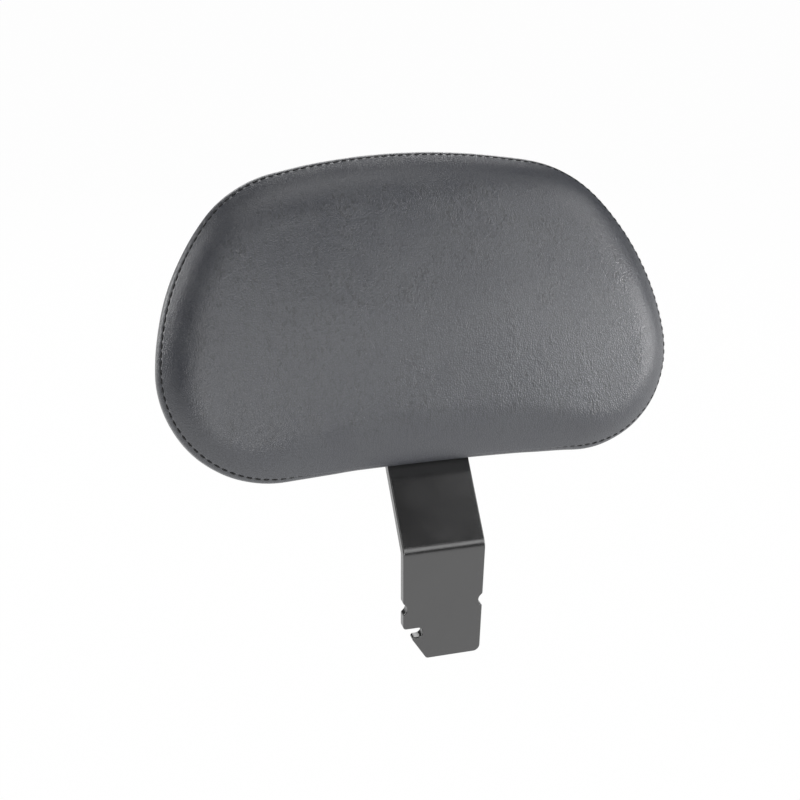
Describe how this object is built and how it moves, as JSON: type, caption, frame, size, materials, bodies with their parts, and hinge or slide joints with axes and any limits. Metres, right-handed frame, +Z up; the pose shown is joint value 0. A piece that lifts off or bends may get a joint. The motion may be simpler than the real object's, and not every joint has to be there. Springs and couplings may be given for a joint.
{
  "type": "motorcycle driver backrest",
  "caption": "Wide crowned vinyl back pad with rounded lobes on a flat steel stem folded back and up, whose lower blade has side notches and a latch slot to drop into a seat bracket.",
  "frame": {"origin": "middle of the stem's lower end, half-way through the plate, where the blade enters its bracket", "axes": "+Z up along the blade, -Y towards the padded side that the rider leans on, +X to the right as seen by someone who faces the pad"},
  "size_m": [0.314, 0.1101, 0.2913],
  "materials": {
    "cover_vinyl": "soft black upholstery vinyl with a fine pebbled grain, satin",
    "foam": "moulded open-cell polyurethane foam",
    "board_wood": "plain plywood",
    "stem_paint": "satin black powder coat on steel",
    "rear_plastic": "finely textured black moulded plastic",
    "black_steel": "black zinc on steel fasteners",
    "zinc_steel": "bright zinc on steel"
  },
  "bodies": {
    "root": {"stem_plate": "stem_paint", "front_panel": "cover_vinyl", "side_band": "cover_vinyl", "foam_cushion": "foam", "backing_board": "board_wood", "hem_staples": "zinc_steel", "rear_cover": "rear_plastic", "rear_cover_rivets": "rear_plastic", "tee_nuts": "zinc_steel", "stem_screws": "black_steel", "stem_washers": "black_steel", "stem_lock_washers": "black_steel"}
  },
  "joints": []
}
